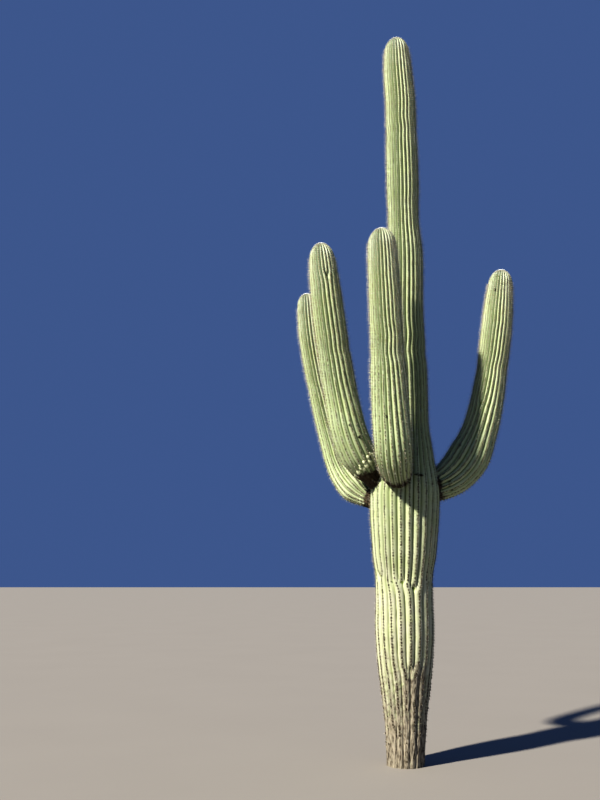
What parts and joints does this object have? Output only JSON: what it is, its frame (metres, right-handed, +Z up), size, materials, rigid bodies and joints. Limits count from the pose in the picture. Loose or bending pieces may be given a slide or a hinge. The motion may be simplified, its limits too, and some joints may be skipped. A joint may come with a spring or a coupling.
{
  "type": "saguaro cactus",
  "caption": "Tall ribbed columnar cactus rooted in the ground, with a leaning, waisted trunk and upturned arms that bend up from its middle.",
  "frame": {"origin": "middle of the flat cut under the trunk, at ground level", "axes": "+Z up the trunk, -Y towards the side where the front arm stands, +X towards the side where the right arm stands"},
  "size_m": [2.1145, 1.2425, 7],
  "materials": {
    "trunk_skin": "waxy green skin, grey-brown and corky towards the foot",
    "arm_skin": "waxy pale green skin",
    "spine_cushions": "dark grey-brown felt",
    "spines": "pale grey-tan horn",
    "crown_wool": "cream wool",
    "scars": "dark dry callus"
  },
  "bodies": {
    "root": {"trunk": "trunk_skin", "front_arm_elbow": "arm_skin", "front_arm_upright": "arm_skin", "left_arm_elbow": "arm_skin", "left_arm_upright": "arm_skin", "back_left_arm_elbow": "arm_skin", "back_left_arm_upright": "arm_skin", "right_arm_elbow": "arm_skin", "right_arm_upright": "arm_skin"}
  },
  "joints": []
}
